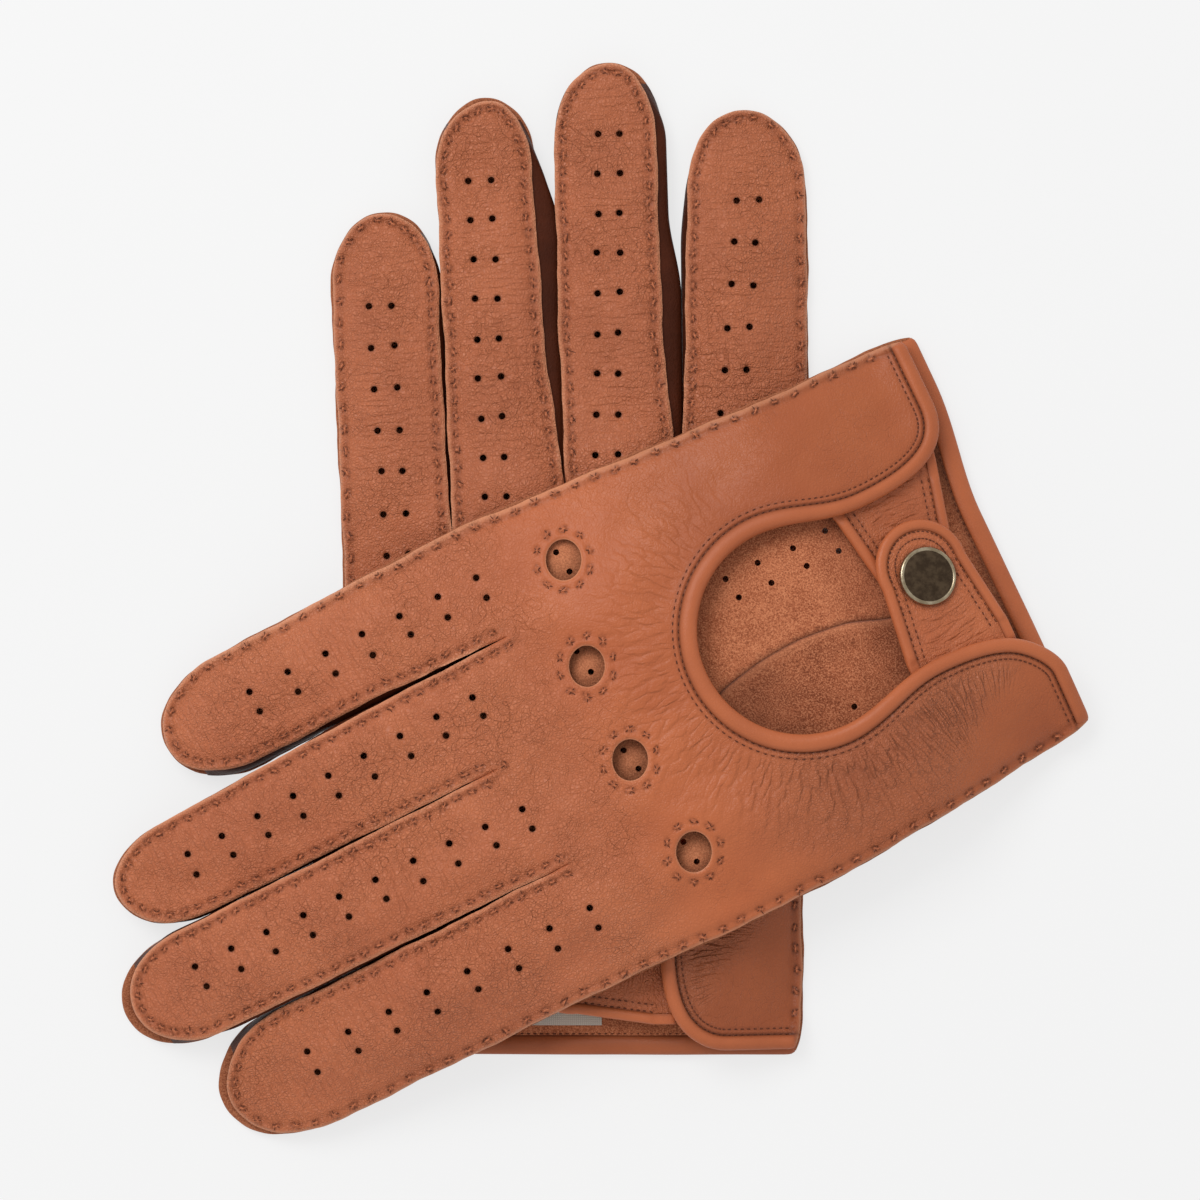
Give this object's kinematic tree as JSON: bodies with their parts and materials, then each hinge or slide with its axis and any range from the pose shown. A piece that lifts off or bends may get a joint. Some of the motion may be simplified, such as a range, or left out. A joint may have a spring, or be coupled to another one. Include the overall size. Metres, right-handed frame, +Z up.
{
  "type": "pair of leather driving gloves",
  "caption": "Pair of short tan leather driving gloves laid crossed, with open bound backs, knuckle holes and snap tabs.",
  "frame": {"origin": "on the table, under the middle of the pair's bounding box", "axes": "+Z up from the table, +Y along the lower, left glove from its cuff to its fingertips"},
  "size_m": [0.2271, 0.2499, 0.0261],
  "materials": {
    "back_leather": "grained, dull",
    "palm_leather": "grained outside, rough inside",
    "strip_leather": "grained, dull",
    "binding_leather": "smooth, satin",
    "snap_brass": "antique, satin",
    "label_cloth": "woven"
  },
  "bodies": {
    "left_hand": {"left_hand_back": "back_leather", "left_hand_palm": "palm_leather", "left_fourchette_bases": "strip_leather", "left_opening_binding": "binding_leather", "left_palm_binding": "binding_leather", "left_tab_root": "back_leather", "left_stud_strap": "back_leather", "left_stud_strap_binding": "binding_leather", "left_snap_stud": "snap_brass", "left_snap_post": "snap_brass", "left_label": "label_cloth"},
    "left_index": {"left_index_tip_back": "back_leather", "left_index_tip_front": "palm_leather", "left_index_tip_fourchettes": "strip_leather"},
    "left_middle": {"left_middle_tip_back": "back_leather", "left_middle_tip_front": "palm_leather", "left_middle_tip_fourchettes": "strip_leather"},
    "left_ring": {"left_ring_tip_back": "back_leather", "left_ring_tip_front": "palm_leather", "left_ring_tip_fourchettes": "strip_leather"},
    "left_little": {"left_little_tip_back": "back_leather", "left_little_tip_front": "palm_leather", "left_little_tip_fourchettes": "strip_leather"},
    "left_thumb": {"left_thumb_front": "palm_leather", "left_thumb_back": "palm_leather"},
    "left_tab": {"left_snap_tab": "back_leather", "left_tab_binding": "binding_leather", "left_snap_cap": "snap_brass", "left_snap_socket": "snap_brass"},
    "right_hand": {"right_hand_back": "back_leather", "right_hand_palm": "palm_leather", "right_fourchette_bases": "strip_leather", "right_opening_binding": "binding_leather", "right_palm_binding": "binding_leather", "right_tab_root": "back_leather", "right_stud_strap": "back_leather", "right_stud_strap_binding": "binding_leather", "right_snap_stud": "snap_brass", "right_snap_post": "snap_brass"},
    "right_index": {"right_index_tip_back": "back_leather", "right_index_tip_front": "palm_leather", "right_index_tip_fourchettes": "strip_leather"},
    "right_middle": {"right_middle_tip_back": "back_leather", "right_middle_tip_front": "palm_leather", "right_middle_tip_fourchettes": "strip_leather"},
    "right_ring": {"right_ring_tip_back": "back_leather", "right_ring_tip_front": "palm_leather", "right_ring_tip_fourchettes": "strip_leather"},
    "right_little": {"right_little_tip_back": "back_leather", "right_little_tip_front": "palm_leather", "right_little_tip_fourchettes": "strip_leather"},
    "right_thumb": {"right_thumb_front": "palm_leather", "right_thumb_back": "palm_leather"},
    "right_tab": {"right_snap_tab": "back_leather", "right_tab_binding": "binding_leather", "right_snap_cap": "snap_brass", "right_snap_socket": "snap_brass"}
  },
  "joints": [
    {"name": "left_index_bend", "type": "hinge", "parent": "left_hand", "child": "left_index", "pos_m": [0.03568, 0.0549, 0.00826], "axis": [1, 0.0087, 0], "range_deg": [0, 75]},
    {"name": "left_middle_bend", "type": "hinge", "parent": "left_hand", "child": "left_middle", "pos_m": [0.00473, 0.0629, 0.00828], "axis": [0.9996, 0.0279, 0], "range_deg": [0, 75]},
    {"name": "left_ring_bend", "type": "hinge", "parent": "left_hand", "child": "left_ring", "pos_m": [-0.02225, 0.0549, 0.0084], "axis": [0.9987, 0.0506, 0], "range_deg": [0, 75]},
    {"name": "left_little_bend", "type": "hinge", "parent": "left_hand", "child": "left_little", "pos_m": [-0.04865, 0.0399, 0.00822], "axis": [0.999, 0.0436, 0], "range_deg": [0, 75]},
    {"name": "left_thumb_swing", "type": "hinge", "parent": "left_hand", "child": "left_thumb", "pos_m": [0.0205, -0.0451, 0], "axis": [0, 0, -1], "range_deg": [0, 60]},
    {"name": "left_tab_open", "type": "hinge", "parent": "left_hand", "child": "left_tab", "pos_m": [0.0127, -0.0851, 0.0087], "axis": [0, 1, 0], "range_deg": [0, 90]},
    {"name": "right_index_bend", "type": "hinge", "parent": "right_hand", "child": "right_index", "pos_m": [-0.03346, -0.0914, 0.02165], "axis": [-0.4509, 0.8926, 0], "range_deg": [0, 75]},
    {"name": "right_middle_bend", "type": "hinge", "parent": "right_hand", "child": "right_middle", "pos_m": [-0.05291, -0.06897, 0.02168], "axis": [-0.4462, 0.8949, 0], "range_deg": [0, 75]},
    {"name": "right_ring_bend", "type": "hinge", "parent": "right_hand", "child": "right_ring", "pos_m": [-0.05702, -0.04156, 0.02182], "axis": [-0.4493, 0.8934, 0], "range_deg": [0, 75]},
    {"name": "right_little_bend", "type": "hinge", "parent": "right_hand", "child": "right_little", "pos_m": [-0.0552, -0.01031, 0.02172], "axis": [-0.4524, 0.8918, 0], "range_deg": [0, 75]},
    {"name": "right_thumb_swing", "type": "hinge", "parent": "right_hand", "child": "right_thumb", "pos_m": [0.04999, -0.03395, 0.0134], "axis": [0, 0, 1], "range_deg": [0, 60]},
    {"name": "right_tab_open", "type": "hinge", "parent": "right_hand", "child": "right_tab", "pos_m": [0.08282, -0.00981, 0.01524], "axis": [0.8594, 0.4062, -0.3107], "range_deg": [0, 90]},
    {"name": "right_glove_lift", "type": "slide", "parent": "left_hand", "child": "right_hand", "axis": [0, 0, 1], "range_m": [0, 0.06]}
  ],
  "couplings": [
    {"joint": "left_tab_open", "follows": "right_glove_lift", "rad_per_m": 26.1}
  ]
}
